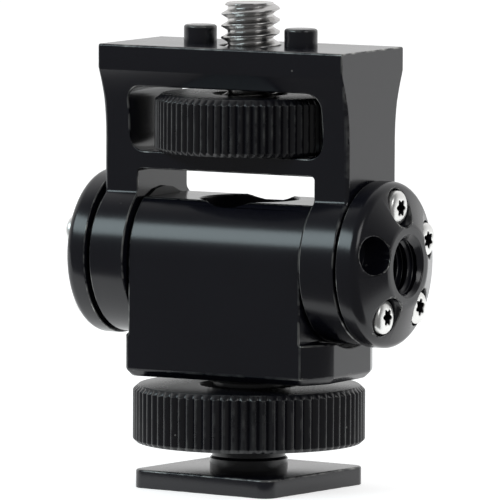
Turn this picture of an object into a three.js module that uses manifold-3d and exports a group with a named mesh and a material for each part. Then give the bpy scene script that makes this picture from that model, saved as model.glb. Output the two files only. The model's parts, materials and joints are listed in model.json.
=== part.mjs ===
// A tilting, swivelling mount bracket: a square shoe foot with a knurled lock wheel, a block with a
// barrel, and a fork with a captive 1/4"-20 thumb screw, held by two screwed side caps.
// Millimetres, +Z up, origin at the middle of the foot's underside. The tilt axis runs along X.
import * as THREE from "three";
import { mergeVertices } from "three/addons/utils/BufferGeometryUtils.js";
import Module from "manifold-3d";

const wasm = await Module();
wasm.setup();

// ---------- clearances ----------
const RUN = 0.3; // radial gap between a turned piece and the hole it sits in

// ---------- shoe foot and stud ----------
const FOOT_SIDE = 18.2; // square plate that slides into a shoe
const FOOT_THICK = 2.0;
const FOOT_CORNER = 1.5;
const FOOT_EDGE = 0.25; // edge chamfer
const FOOT_TURN = -6.45; // degrees: how far the foot stands turned under the block at rest
const STUD_R = 3.95; // threaded stud that carries the lock wheel
const COLLAR_R = 4.2; // plain collar at the stud's root
const COLLAR_HEIGHT = 1.1;
const SPIGOT_R = 3.0; // the stud's upper end, the pivot of the swivel

// ---------- lock wheel ----------
const LOCK_LIFT = 2.8; // free height between the plate and the wheel, for the shoe's lips
const LOCK_R = 12.49;
const LOCK_THICK = 6.2;
const LOCK_EDGE = 0.5;
const LOCK_TEETH = 74;
const LOCK_KNURL = 0.35; // depth of the straight knurl
const LOCK_RECESS_R = 5.26;
const LOCK_RECESS_DEPTH = 0.7;
const PRESSURE_R = 7.5; // washer let into the wheel's underside
const PRESSURE_THICK = 0.8;

// ---------- block ----------
const BLOCK_GAP = 0.95; // between the lock wheel and the block
const BLOCK_TO_AXIS = 12.75; // underside to tilt axis
const BASE_HEIGHT = 4.4; // wide base below the shoulders
const SHOULDER = 2.15; // how far the base stands out past the barrel at each side
const BLOCK_DEPTH = 15.8; // also the barrel's diameter
const BLOCK_TURNED_R = 13.25; // the base's corners are turned about the swivel axis
const BLOCK_EDGE = 0.75;
const BARREL_LENGTH = 21.0;
const BARREL_EDGE = 0.35;
const FLAT_CUT = 1.55; // depth of the flat on top of the barrel
const COUNTERBORE_R = 5.35;
const COUNTERBORE_DEPTH = 4.6;
const SWIVEL_WASHER_R = 4.5;
const SWIVEL_WASHER_THICK = 0.5;
const SWIVEL_HEAD_THICK = 1.7;
const SWIVEL_SHANK_R = 1.9;
const SWIVEL_SHANK_REACH = 7.0; // how far the shank goes into the stud
const SWIVEL_KEY_R = 1.6; // hexagon socket

// ---------- fork ----------
const EAR_THICK = 4.15;
const HEAD_DEPTH = 13.6;
const HEAD_THICK = 4.45; // above the window
const HEAD_STRAIGHT = 2.5; // straight sides of the head before the taper
const WAIST_DEPTH = 10.7;
const WAIST_RISE = 1.45; // the taper ends this high above the bridge
const EAR_LAP = 0.75; // the ears stand out this far past the barrel
const EAR_FILLET = 3.0;
const EAR_GAP = 0.3; // thrust washer between ear and barrel
const YOKE_EDGE = 0.3;
const BRIDGE_THICK = 1.9;
const BRIDGE_GAP = 1.55; // between the barrel's round and the bridge
const WINDOW_SIDE = 1.55; // between the thumb wheel and the window's ends
const WINDOW_PLAY = 0.75; // free lift of the captive thumb wheel
const WINDOW_CORNER = 1.7;

// ---------- thumb wheel and 1/4"-20 screw ----------
const SCREW_R = 3.175;
const SCREW_STAND = 4.6; // above the top plate
const SCREW_EDGE = 0.6;
const THUMB_R = 10.25;
const THUMB_THICK = 6.15;
const THUMB_TEETH = 74;
const THUMB_KNURL = 0.3;
const THUMB_EDGE = 0.6;
const THUMB_RECESS_R = 4.0;
const THUMB_RECESS_DEPTH = 0.5;
const THUMB_WASHER_R = 5.5;
const THUMB_WASHER_THICK = 0.5;
const THUMB_LIFT = 0.1; // the wheel runs this high above the bridge
const SET_SCREW_R = 1.2;
const SET_SCREW_LENGTH = 3.5;

// ---------- locating pins on the top plate ----------
const PIN_R = 1.79;
const PIN_STAND = 2.0;
const PIN_PITCH_R = 6.18;
const PIN_SPIGOT_R = 1.2;
const PIN_SPIGOT_LENGTH = 2.2;
const PIN_EDGE = 0.3;

// ---------- side caps ----------
const CAP_LAP = 0.25; // the caps stand out this far past the ears
const CAP_GAP = 0.45; // left open so that the screws can set the friction
const CAP_RIM = 2.2;
const CAP_CONE = 1.8;
const CAP_FACE_LAND = 0.95; // flat ring around the socket's mouth
const STUB_R = 4.0; // axle stub through the ear into the barrel
const SOCKET_R = 3.05; // threaded side socket
const SOCKET_DEPTH = 9.5;
const SOCKET_MOUTH = 0.35;
const CAP_PITCH_R = 6.2; // screws and locating hole
const CAP_HOLE_R = 2.05;
const CAP_HOLE_DEPTH = 2.2; // from the cap's flat face
const CAP_HOLE_ANGLES = [-4, 68, 140, 212]; // clockwise from the top, seen from outside
const PIN_HOLE_ANGLE = 284;
const PIN_HOLE_DEPTH = 3.2;
const CAP_HEAD_THICK = 1.55;
const CAP_SHANK_R = 1.0;
const CAP_SHANK_REACH = 2.6; // into the ear
const RECESS_R = 0.85;
const RECESS_DEPTH = 0.8;
const PAD_THICK = 1.0;
const DISC_SPRING_THICK = 0.5;
const BARREL_WALL = 1.05; // between the counterbore and the end bores

// ---------- derived levels ----------
const lockBottom = FOOT_THICK + LOCK_LIFT;
const lockTop = lockBottom + LOCK_THICK;
const blockBottom = lockTop + BLOCK_GAP;
const axisZ = blockBottom + BLOCK_TO_AXIS;
const barrelR = BLOCK_DEPTH / 2;
const barrelFlat = barrelR - FLAT_CUT;
const blockWidth = BARREL_LENGTH + 2 * SHOULDER;
const shoulder = BASE_HEIGHT - BLOCK_TO_AXIS; // from here on, levels are measured from the tilt axis
const counterboreFloor = barrelFlat - COUNTERBORE_DEPTH;
const spigotBore = SPIGOT_R + RUN;
const washerRim = Math.min(SWIVEL_WASHER_R, LOCK_RECESS_R - RUN);
const earInner = BARREL_LENGTH / 2 + EAR_GAP;
const earOuter = earInner + EAR_THICK;
const earR = barrelR + EAR_LAP;
const bridgeBottom = barrelR + BRIDGE_GAP;
const bridgeTop = bridgeBottom + BRIDGE_THICK;
const thumbBottom = bridgeTop + THUMB_LIFT;
const windowTop = thumbBottom + THUMB_THICK + WINDOW_PLAY;
const windowHalf = THUMB_R + WINDOW_SIDE;
const yokeTop = windowTop + HEAD_THICK;
const waistTop = bridgeTop + WAIST_RISE;
const capInner = earOuter + CAP_GAP;
const capFace = capInner + CAP_RIM + CAP_CONE;
const padSeat = COUNTERBORE_R + BARREL_WALL;
const stubEnd = padSeat + PAD_THICK + DISC_SPRING_THICK;
const stubBore = STUB_R + RUN;
const capR = earR + CAP_LAP;
const capFaceR = SOCKET_R + SOCKET_MOUTH + CAP_FACE_LAND;
const capFloor = capFace - CAP_HOLE_DEPTH;
const capShankHole = CAP_SHANK_R + RUN;

// ---------- geometry helpers ----------
// A three.js geometry as a solid, whichever way its profile was drawn.
function solid(geometry) {
  geometry.deleteAttribute("normal");
  geometry.deleteAttribute("uv");
  const merged = mergeVertices(geometry, 1e-4);
  const index = merged.index.array;
  const tris = [];
  for (let i = 0; i < index.length; i += 3) {
    const [a, b, c] = [index[i], index[i + 1], index[i + 2]];
    if (a !== b && b !== c && c !== a) tris.push(a, b, c);
  }
  const vertProperties = new Float32Array(merged.attributes.position.array);
  const make = (t) =>
    new wasm.Manifold(new wasm.Mesh({ numProp: 3, vertProperties, triVerts: new Uint32Array(t) }));
  const made = make(tris);
  return made.volume() < 0 ? make(tris.slice().reverse()) : made;
}

function toGeometry(manifold) {
  const mesh = manifold.getMesh();
  const geometry = new THREE.BufferGeometry();
  geometry.setAttribute("position", new THREE.BufferAttribute(new Float32Array(mesh.vertProperties), 3));
  geometry.setIndex(new THREE.BufferAttribute(new Uint32Array(mesh.triVerts), 1));
  const flat = geometry.toNonIndexed();
  flat.computeVertexNormals();
  return flat;
}

// A profile of [radius, height] points turned about Z, or about X with along = "x".
function turned(points, segments = 32, along = "z") {
  const g = new THREE.LatheGeometry(points.map(([r, z]) => new THREE.Vector2(r, z)), segments);
  g.rotateX(Math.PI / 2);
  if (along === "x") g.rotateY(Math.PI / 2);
  return solid(g);
}

const disc = (r, a, b, segments = 32, along = "z") =>
  turned([[0, a], [r, a], [r, b], [0, b]], segments, along);

const ring = (inner, outer, a, b, segments = 24, along = "z") =>
  turned([[inner, a], [outer, a], [outer, b], [inner, b], [inner, a]], segments, along);

// A box between two corners.
function block(x0, x1, y0, y1, z0, z1) {
  const g = new THREE.BoxGeometry(x1 - x0, y1 - y0, z1 - z0);
  g.translate((x0 + x1) / 2, (y0 + y1) / 2, (z0 + z1) / 2);
  return solid(g);
}

// A shape in XY swept along Z from a to b, its edges cut back by a chamfer.
function prism(shape, a, b, chamfer = 0, curveSegments = 8) {
  const g = new THREE.ExtrudeGeometry(shape, {
    depth: b - a - 2 * chamfer,
    bevelEnabled: chamfer > 0,
    bevelThickness: chamfer,
    bevelSize: chamfer,
    bevelOffset: -chamfer,
    bevelSegments: 1,
    curveSegments,
  });
  g.translate(0, 0, a + chamfer);
  return g;
}

function roundedRectangle(hx, hy, r) {
  const s = new THREE.Shape();
  s.moveTo(-hx + r, -hy);
  s.lineTo(hx - r, -hy);
  s.absarc(hx - r, -hy + r, r, -Math.PI / 2, 0, false);
  s.lineTo(hx, hy - r);
  s.absarc(hx - r, hy - r, r, 0, Math.PI / 2, false);
  s.lineTo(-hx + r, hy);
  s.absarc(-hx + r, hy - r, r, Math.PI / 2, Math.PI, false);
  s.lineTo(-hx, -hy + r);
  s.absarc(-hx + r, -hy + r, r, Math.PI, Math.PI * 1.5, false);
  return s;
}

// A regular star or polygon: radii repeat around the circle.
function starShape(radii, repeats, turn = 0) {
  const s = new THREE.Shape();
  const n = radii.length * repeats;
  for (let i = 0; i < n; i++) {
    const t = turn + (2 * Math.PI * i) / n;
    const r = radii[i % radii.length];
    if (i === 0) s.moveTo(r * Math.cos(t), r * Math.sin(t));
    else s.lineTo(r * Math.cos(t), r * Math.sin(t));
  }
  s.closePath();
  return s;
}

// A knurled wheel from a to b with chamfered rims.
function knurled(r, teeth, depth, edge, a, b) {
  const teethPrism = solid(prism(starShape([r, r - depth], teeth), a, b));
  const blank = turned(
    [[0, a], [r - edge, a], [r + 0.02, a + edge], [r + 0.02, b - edge], [r - edge, b], [0, b]],
    teeth,
  );
  return teethPrism.intersect(blank);
}

// ---------- shoe foot ----------
function shoeFoot() {
  const plate = solid(
    prism(roundedRectangle(FOOT_SIDE / 2, FOOT_SIDE / 2, FOOT_CORNER), 0, FOOT_THICK, FOOT_EDGE),
  );
  const studTop = blockBottom - SWIVEL_WASHER_THICK;
  const spigotTop = axisZ + counterboreFloor - 2 * RUN;
  const stud = turned([
    [0, FOOT_THICK - 1],
    [COLLAR_R, FOOT_THICK - 1],
    [COLLAR_R, FOOT_THICK + COLLAR_HEIGHT],
    [STUD_R, FOOT_THICK + COLLAR_HEIGHT + (COLLAR_R - STUD_R)],
    [STUD_R, studTop],
    [SPIGOT_R, studTop],
    [SPIGOT_R, spigotTop],
    [0, spigotTop],
  ]);
  const tapped = disc(
    SWIVEL_SHANK_R + RUN,
    spigotTop - SWIVEL_SHANK_REACH - RUN,
    spigotTop + 1,
    24,
  );
  return plate.add(stud).subtract(tapped);
}

// ---------- lock wheel and its pressure washer ----------
function lockWheel() {
  return knurled(LOCK_R, LOCK_TEETH, LOCK_KNURL, LOCK_EDGE, lockBottom, lockTop)
    .subtract(disc(Math.max(COLLAR_R, STUD_R) + RUN, lockBottom - 1, lockTop + 1))
    .subtract(disc(LOCK_RECESS_R, lockTop - LOCK_RECESS_DEPTH, lockTop + 1))
    .subtract(disc(PRESSURE_R + RUN, lockBottom - 1, lockBottom + PRESSURE_THICK));
}

const pressureWasher = () =>
  ring(Math.max(COLLAR_R, STUD_R) + RUN, PRESSURE_R, lockBottom, lockBottom + PRESSURE_THICK);

const swivelWasher = () =>
  ring(SPIGOT_R + RUN, washerRim, blockBottom - SWIVEL_WASHER_THICK, blockBottom);

// ---------- block, measured from the tilt axis ----------
function baseBlock() {
  const w = blockWidth / 2;
  const d = BLOCK_DEPTH / 2;
  const turnedBase = turned([
    [0, -BLOCK_TO_AXIS],
    [BLOCK_TURNED_R - BLOCK_EDGE, -BLOCK_TO_AXIS],
    [BLOCK_TURNED_R, -BLOCK_TO_AXIS + BLOCK_EDGE],
    [BLOCK_TURNED_R, shoulder],
    [0, shoulder],
  ], 64);
  const outline = new THREE.Shape();
  outline.moveTo(-w, -BLOCK_TO_AXIS + BLOCK_EDGE);
  outline.lineTo(-w + BLOCK_EDGE, -BLOCK_TO_AXIS);
  outline.lineTo(w - BLOCK_EDGE, -BLOCK_TO_AXIS);
  outline.lineTo(w, -BLOCK_TO_AXIS + BLOCK_EDGE);
  outline.lineTo(w, shoulder + 1);
  outline.lineTo(-w, shoulder + 1);
  outline.closePath();
  const front = prism(outline, -d - 1, d + 1);
  front.rotateX(Math.PI / 2);
  const sides = new THREE.Shape();
  sides.moveTo(-d, -BLOCK_TO_AXIS + BLOCK_EDGE);
  sides.lineTo(-d + BLOCK_EDGE, -BLOCK_TO_AXIS);
  sides.lineTo(d - BLOCK_EDGE, -BLOCK_TO_AXIS);
  sides.lineTo(d, -BLOCK_TO_AXIS + BLOCK_EDGE);
  sides.lineTo(d, shoulder + 1);
  sides.lineTo(-d, shoulder + 1);
  sides.closePath();
  const side = prism(sides, -w - 1, w + 1);
  side.rotateX(Math.PI / 2);
  side.rotateZ(Math.PI / 2);
  const base = turnedBase.intersect(solid(front)).intersect(solid(side));
  const h = BARREL_LENGTH / 2;
  const neck = block(-h, h, -d, d, shoulder - 1, 0);
  const barrel = turned([
    [0, -h],
    [d - BARREL_EDGE, -h],
    [d, -h + BARREL_EDGE],
    [d, h - BARREL_EDGE],
    [d - BARREL_EDGE, h],
    [0, h],
  ], 56, "x");
  let made = base.add(neck).add(barrel);
  const relief = earR + RUN + 0.1; // room for the ears under the shoulders
  for (const s of [-1, 1]) {
    made = made.subtract(disc(relief, Math.min(s * h, s * (w + 2)), Math.max(s * h, s * (w + 2)), 56, "x"));
    made = made.subtract(disc(stubBore, Math.min(s * padSeat, s * (h + 1)), Math.max(s * padSeat, s * (h + 1)), 32, "x"));
  }
  return made
    .subtract(block(-h - 1, h + 1, -d, d, barrelFlat, d + 1))
    .subtract(disc(COUNTERBORE_R, counterboreFloor, d + 1, 40))
    .subtract(disc(spigotBore, -BLOCK_TO_AXIS - 1, counterboreFloor + 1, 24));
}

const swivelSpringWasher = () =>
  ring(spigotBore, COUNTERBORE_R - RUN, counterboreFloor, counterboreFloor + DISC_SPRING_THICK, 24);

function swivelScrew() {
  const seat = counterboreFloor + DISC_SPRING_THICK;
  const top = seat + SWIVEL_HEAD_THICK;
  const headR = COUNTERBORE_R - RUN - 0.15;
  const end = counterboreFloor - 2 * RUN - SWIVEL_SHANK_REACH;
  const body = turned([
    [0, end],
    [SWIVEL_SHANK_R, end],
    [SWIVEL_SHANK_R, seat],
    [headR, seat],
    [headR, top - 0.3],
    [headR - 0.3, top],
    [0, top],
  ], 24);
  const key = solid(prism(starShape([SWIVEL_KEY_R], 6), top - SWIVEL_HEAD_THICK + 0.5, top + 1));
  return body.subtract(key);
}

// ---------- fork ----------
function yoke() {
  const head = HEAD_DEPTH / 2;
  const waist = WAIST_DEPTH / 2;
  const taperTop = yokeTop - HEAD_STRAIGHT;
  // The taper is an arc that meets the waist tangentially.
  const rise = taperTop - waistTop;
  const inset = head - waist;
  const taperR = (rise * rise + inset * inset) / (2 * inset);
  const sweep = Math.asin(rise / taperR);
  // The fillet between waist and round ear touches both.
  const fx = waist + EAR_FILLET;
  const fz = Math.sqrt((earR + EAR_FILLET) ** 2 - fx * fx);
  const touch = Math.atan2(fz, fx);
  const s = new THREE.Shape();
  s.moveTo(head, yokeTop);
  s.lineTo(-head, yokeTop);
  s.lineTo(-head, taperTop);
  s.absarc(-waist - taperR, waistTop, taperR, sweep, 0, true);
  s.lineTo(-waist, fz);
  s.absarc(-fx, fz, EAR_FILLET, 0, -touch, true);
  s.absarc(0, 0, earR, Math.PI - touch, 2 * Math.PI + touch, false);
  s.absarc(fx, fz, EAR_FILLET, Math.PI + touch, Math.PI, true);
  s.lineTo(waist, waistTop);
  s.absarc(waist + taperR, waistTop, taperR, Math.PI, Math.PI - sweep, true);
  s.closePath();
  const g = prism(s, -earOuter, earOuter, YOKE_EDGE, 9);
  // shape x -> Y, shape y -> Z, sweep -> X
  g.rotateX(Math.PI / 2);
  g.rotateZ(Math.PI / 2);
  let made = solid(g);
  const across = HEAD_DEPTH + earR;
  const window = prism(
    roundedRectangle(windowHalf, (windowTop - bridgeTop) / 2, WINDOW_CORNER),
    -across,
    across,
    0,
    4,
  );
  window.rotateX(Math.PI / 2);
  window.translate(0, 0, (bridgeTop + windowTop) / 2);
  made = made
    .subtract(solid(window))
    .subtract(block(-earInner, earInner, -across, across, -earR - 1, bridgeBottom))
    .subtract(disc(stubBore, -earOuter - 1, earOuter + 1, 32, "x"))
    .subtract(disc(SCREW_R + RUN, windowTop - 1, yokeTop + 1, 28));
  for (const s of [-1, 1]) {
    const hole = disc(PIN_SPIGOT_R + RUN, yokeTop - PIN_SPIGOT_LENGTH - RUN, yokeTop + 1, 12);
    made = made.subtract(hole.translate([s * PIN_PITCH_R, 0, 0]));
    for (const angle of CAP_HOLE_ANGLES) {
      const depth = earOuter - CAP_SHANK_REACH - RUN;
      const [y, z] = capPoint(s, angle);
      const tap = disc(capShankHole, Math.min(s * depth, s * (earOuter + 1)), Math.max(s * depth, s * (earOuter + 1)), 10, "x");
      made = made.subtract(tap.translate([0, y, z]));
    }
  }
  return made;
}

// A point on a cap's pitch circle: clockwise from the top, seen from outside the cap on that side.
function capPoint(side, angle) {
  const t = THREE.MathUtils.degToRad(angle);
  return [side * CAP_PITCH_R * Math.sin(t), CAP_PITCH_R * Math.cos(t)];
}

// ---------- side caps: one part, used on both sides ----------
function cap() {
  let made = turned([
    [0, stubEnd],
    [STUB_R, stubEnd],
    [STUB_R, capInner],
    [capR, capInner],
    [capR, capInner + CAP_RIM],
    [capFaceR, capFace],
    [0, capFace],
  ], 48, "x");
  made = made.subtract(turned([
    [0, capFace - SOCKET_DEPTH],
    [SOCKET_R, capFace - SOCKET_DEPTH],
    [SOCKET_R, capFace - SOCKET_MOUTH],
    [SOCKET_R + SOCKET_MOUTH, capFace],
    [SOCKET_R + SOCKET_MOUTH, capFace + 1],
    [0, capFace + 1],
  ], 32, "x"));
  for (const angle of CAP_HOLE_ANGLES) {
    const [y, z] = capPoint(1, angle);
    made = made
      .subtract(disc(CAP_HOLE_R, capFloor, capFace + 1, 16, "x").translate([0, y, z]))
      .subtract(disc(capShankHole, capInner - 1, capFloor + 1, 10, "x").translate([0, y, z]));
  }
  const [y, z] = capPoint(1, PIN_HOLE_ANGLE);
  return made.subtract(disc(CAP_HOLE_R, capFace - PIN_HOLE_DEPTH, capFace + 1, 16, "x").translate([0, y, z]));
}

// A button-head screw with a six-lobed recess, its axis along X at the origin.
function capScrew() {
  const head = CAP_HOLE_R - RUN;
  const end = earOuter - CAP_SHANK_REACH;
  const top = capFloor + CAP_HEAD_THICK;
  const body = turned([
    [0, end],
    [CAP_SHANK_R, end],
    [CAP_SHANK_R, capFloor],
    [head, capFloor],
    [head, capFloor + CAP_HEAD_THICK * 0.45],
    [head * 0.8, capFloor + CAP_HEAD_THICK * 0.85],
    [head * 0.5, top],
    [0, top],
  ], 16, "x");
  const recess = prism(starShape([RECESS_R, RECESS_R * 0.72], 6), top - RECESS_DEPTH, top + 1);
  recess.rotateY(Math.PI / 2);
  return body.subtract(solid(recess));
}

const frictionPad = () => disc(STUB_R, padSeat, padSeat + PAD_THICK, 24, "x");

const discSpring = () =>
  ring(STUB_R * 0.55, STUB_R, padSeat + PAD_THICK, stubEnd, 24, "x");

const thrustWasher = () =>
  ring(stubBore + RUN, BLOCK_DEPTH / 2 - BARREL_EDGE - RUN, BARREL_LENGTH / 2, earInner, 24, "x");

// ---------- locating pin, its shoulder on the top plate ----------
const locatingPin = () =>
  turned([
    [0, -PIN_SPIGOT_LENGTH],
    [PIN_SPIGOT_R, -PIN_SPIGOT_LENGTH],
    [PIN_SPIGOT_R, 0],
    [PIN_R, 0],
    [PIN_R, PIN_STAND - PIN_EDGE],
    [PIN_R - PIN_EDGE, PIN_STAND],
    [0, PIN_STAND],
  ], 20);

// ---------- thumb wheel, its screw and its washer, measured from the tilt axis ----------
function thumbWheel() {
  const top = thumbBottom + THUMB_THICK;
  const grub = disc(SET_SCREW_R + RUN, 0, THUMB_R + 1, 12);
  const grubHole = grub.rotate([-90, 0, 0]).translate([0, 0, (thumbBottom + top) / 2]);
  return knurled(THUMB_R, THUMB_TEETH, THUMB_KNURL, THUMB_EDGE, thumbBottom, top)
    .subtract(disc(SCREW_R + RUN, thumbBottom - 1, top + 1))
    .subtract(disc(THUMB_RECESS_R, top - THUMB_RECESS_DEPTH, top + 1))
    .subtract(disc(THUMB_WASHER_R + RUN, thumbBottom - 1, bridgeTop + THUMB_WASHER_THICK))
    .subtract(grubHole);
}

const thumbWasher = () =>
  ring(SCREW_R + RUN, THUMB_WASHER_R, bridgeTop, bridgeTop + THUMB_WASHER_THICK);

function mountScrew() {
  const end = bridgeTop + THUMB_WASHER_THICK;
  const top = yokeTop + SCREW_STAND;
  return turned([
    [0, end],
    [SCREW_R, end],
    [SCREW_R, top - SCREW_EDGE],
    [SCREW_R - SCREW_EDGE, top],
    [0, top],
  ], 28);
}

// A grub screw that bears on the 1/4"-20 screw from behind.
function thumbSetScrew() {
  const z = thumbBottom + THUMB_THICK / 2;
  const outer = SCREW_R + RUN + SET_SCREW_LENGTH;
  const body = disc(SET_SCREW_R, SCREW_R + RUN * 0.5, outer, 12);
  const key = solid(prism(starShape([SET_SCREW_R * 0.55], 6), outer - 1, outer + 1));
  return body.subtract(key).rotate([-90, 0, 0]).translate([0, 0, z]);
}

// ---------- materials ----------
const metal = (color, roughness) => new THREE.MeshStandardMaterial({ color, roughness, metalness: 0.85 });
const anodised = metal(0x2a2b30, 0.45);
const knurledBlack = metal(0x1d1e22, 0.5);
const steel = metal(0xc9cacc, 0.25);
const springSteel = metal(0x9a9a98, 0.35);
const polymer = new THREE.MeshStandardMaterial({ color: 0x1a1a1a, roughness: 0.7, metalness: 0 });
const nylon = new THREE.MeshStandardMaterial({ color: 0xd8d4c8, roughness: 0.6, metalness: 0 });

// ---------- assembly ----------
function piece(name, manifold, material) {
  const mesh = new THREE.Mesh(toGeometry(manifold), material);
  mesh.name = name;
  return mesh;
}

const bracket = new THREE.Group();

const foot = piece("shoe_foot", shoeFoot(), anodised);
foot.rotation.z = THREE.MathUtils.degToRad(FOOT_TURN);
bracket.add(
  foot,
  piece("lock_wheel", lockWheel(), knurledBlack),
  piece("pressure_washer", pressureWasher(), polymer),
  piece("swivel_washer", swivelWasher(), polymer),
);

// Everything from the block upwards is placed from the tilt axis.
const upper = new THREE.Group();
upper.position.z = axisZ;
bracket.add(upper);
upper.add(
  piece("base_block", baseBlock(), anodised),
  piece("swivel_screw", swivelScrew(), steel),
  piece("swivel_spring_washer", swivelSpringWasher(), springSteel),
  piece("yoke", yoke(), anodised),
  piece("thumb_wheel", thumbWheel(), knurledBlack),
  piece("mount_screw", mountScrew(), steel),
  piece("thumb_set_screw", thumbSetScrew(), steel),
  piece("thumb_washer", thumbWasher(), nylon),
);

for (const [side, s] of [["right", 1], ["left", -1]]) {
  // The left side is the right side turned half round about the vertical.
  const flank = new THREE.Group();
  flank.rotation.z = s > 0 ? 0 : Math.PI;
  upper.add(flank);
  flank.add(
    piece("cap_" + side, cap(), anodised),
    piece("friction_pad_" + side, frictionPad(), polymer),
    piece("spring_washer_" + side, discSpring(), springSteel),
    piece("thrust_washer_" + side, thrustWasher(), nylon),
  );
  CAP_HOLE_ANGLES.forEach((angle, i) => {
    const screw = piece("cap_screw_" + side + "_" + (i + 1), capScrew(), steel);
    const [y, z] = capPoint(1, angle);
    screw.position.set(0, y, z);
    screw.rotation.x = THREE.MathUtils.degToRad(-angle);
    flank.add(screw);
  });
  const pin = piece("locating_pin_" + side, locatingPin(), anodised);
  pin.position.set(PIN_PITCH_R, 0, yokeTop);
  flank.add(pin);
}

export default bracket;
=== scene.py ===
import json
import math

import bmesh
import bpy
import numpy as np
from mathutils import Matrix


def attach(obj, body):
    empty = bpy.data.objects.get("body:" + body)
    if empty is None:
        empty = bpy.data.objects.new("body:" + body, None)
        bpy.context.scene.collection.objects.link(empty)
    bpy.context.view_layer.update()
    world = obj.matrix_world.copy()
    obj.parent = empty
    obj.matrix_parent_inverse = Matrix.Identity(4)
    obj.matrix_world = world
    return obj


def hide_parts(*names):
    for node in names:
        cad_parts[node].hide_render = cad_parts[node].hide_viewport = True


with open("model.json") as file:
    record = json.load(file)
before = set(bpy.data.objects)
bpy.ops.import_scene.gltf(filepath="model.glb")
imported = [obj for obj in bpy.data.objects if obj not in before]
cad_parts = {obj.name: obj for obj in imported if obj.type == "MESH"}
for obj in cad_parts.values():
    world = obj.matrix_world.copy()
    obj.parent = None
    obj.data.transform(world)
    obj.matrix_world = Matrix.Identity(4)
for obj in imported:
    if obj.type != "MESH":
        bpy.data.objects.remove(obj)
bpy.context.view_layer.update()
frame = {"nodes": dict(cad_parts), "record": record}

# ---------- view ----------
# The bracket stands upright on a table and is seen from a little above and from its right.
# Everything else is placed from the tilt axis, which is also where the view aims.
MM = 0.001
JOINTS = {j["name"]: j for j in frame["record"]["behaviour"]["joints"]}
AXIS = np.array(JOINTS["tilt"]["pos_m"])

VIEW_AZIMUTH = math.radians(29.405)
VIEW_ELEVATION = math.radians(5.295)
VIEW_ROLL = math.radians(0.243)
VIEW_DISTANCE = 1.0
VIEW_AIM = (0.04 * MM, 0.747 * MM)
LENS = 670.9


def view_axes():
    """Right, up and back of the camera: a turn about Z by the azimuth, a rise by the elevation,
    then a small roll about the line of sight."""
    ca, sa = math.cos(VIEW_AZIMUTH), math.sin(VIEW_AZIMUTH)
    ce, se = math.cos(VIEW_ELEVATION), math.sin(VIEW_ELEVATION)
    right = np.array([ca, sa, 0.0])
    back = np.array([sa * ce, -ca * ce, se])
    up = np.cross(back, right)
    c, s = math.cos(VIEW_ROLL), math.sin(VIEW_ROLL)
    return c * right + s * up, -s * right + c * up, back


def link(obj):
    bpy.context.scene.collection.objects.link(obj)
    return obj


def facing(position, axes):
    """A placing matrix from a position and the object's own X, Y and Z directions."""
    m = np.eye(4)
    m[:3, :3] = np.array(axes).T
    m[:3, 3] = position
    return Matrix(m.tolist())


right, up, back = view_axes()
camera = link(bpy.data.objects.new("camera", bpy.data.cameras.new("camera")))
camera.data.lens = LENS
camera.data.sensor_width = 36
camera.data.clip_start = 0.01
camera.data.clip_end = 50
camera.matrix_world = facing(
    AXIS + VIEW_AIM[0] * right + VIEW_AIM[1] * up + VIEW_DISTANCE * back, (right, up, back)
)
bpy.context.scene.camera = camera
bpy.context.scene.view_settings.view_transform = "Standard"

# ---------- floor and light ----------
# A white table in a white tent: bright cloth behind the bracket, a dimmer room in front of it,
# one large soft lamp high at the front left and a weaker one at the right.
FLOOR_SIZE = 3.0
TABLE_EDGE = 0.019
FLOOR_WHITE = (0.86, 0.86, 0.86, 1.0)
FLOOR_GLOW = 0.66
CLOTH_BACK = 0.9
ROOM_FRONT = 0.18


def node(tree, kind, at=(0, 0), **values):
    """A shader node with its properties and plain inputs set by name."""
    n = tree.nodes.new(kind)
    n.location = at
    for key, value in values.items():
        if hasattr(n, key):
            setattr(n, key, value)
        else:
            n.inputs[key.replace("_", " ")].default_value = value
    return n


def join(tree, *pairs):
    for a, b in pairs:
        tree.links.new(a, b)


world = bpy.data.worlds.new("tent")
bpy.context.scene.world = world
world.use_nodes = True
wt = world.node_tree
wt.nodes.clear()
direction = node(wt, "ShaderNodeTexCoord")
behind = node(wt, "ShaderNodeVectorMath", operation="DOT_PRODUCT")
behind.inputs[1].default_value = (-back[0], -back[1], 0.0)
cloth = node(wt, "ShaderNodeMapRange", interpolation_type="SMOOTHSTEP")
cloth.inputs["From Min"].default_value = -0.10
cloth.inputs["From Max"].default_value = 0.55
cloth.inputs["To Min"].default_value = ROOM_FRONT
cloth.inputs["To Max"].default_value = CLOTH_BACK
rays = node(wt, "ShaderNodeLightPath")
seen = node(wt, "ShaderNodeMix", data_type="FLOAT")
seen.inputs[3].default_value = 1.0
tent = node(wt, "ShaderNodeBackground", Color=(1.0, 1.0, 1.0, 1.0))
world_out = node(wt, "ShaderNodeOutputWorld")
join(
    wt,
    (direction.outputs["Generated"], behind.inputs[0]),
    (behind.outputs["Value"], cloth.inputs["Value"]),
    (rays.outputs["Is Camera Ray"], seen.inputs[0]),
    (cloth.outputs["Result"], seen.inputs[2]),
    (seen.outputs[0], tent.inputs["Strength"]),
    (tent.outputs[0], world_out.inputs["Surface"]),
)


def soft_lamp(name, direction, distance, width, height, power, colour):
    """A rectangular lamp that looks at the tilt axis from a given direction."""
    d = np.array(direction) / np.linalg.norm(direction)
    x = np.cross([0.0, 0.0, 1.0], d)
    x /= np.linalg.norm(x)
    data = bpy.data.lights.new(name, "AREA")
    data.shape = "RECTANGLE"
    data.size, data.size_y = width, height
    data.energy = power
    data.color = colour
    lamp = link(bpy.data.objects.new(name, data))
    lamp.matrix_world = facing(AXIS + distance * d, (x, np.cross(d, x), d))
    return lamp


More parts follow.
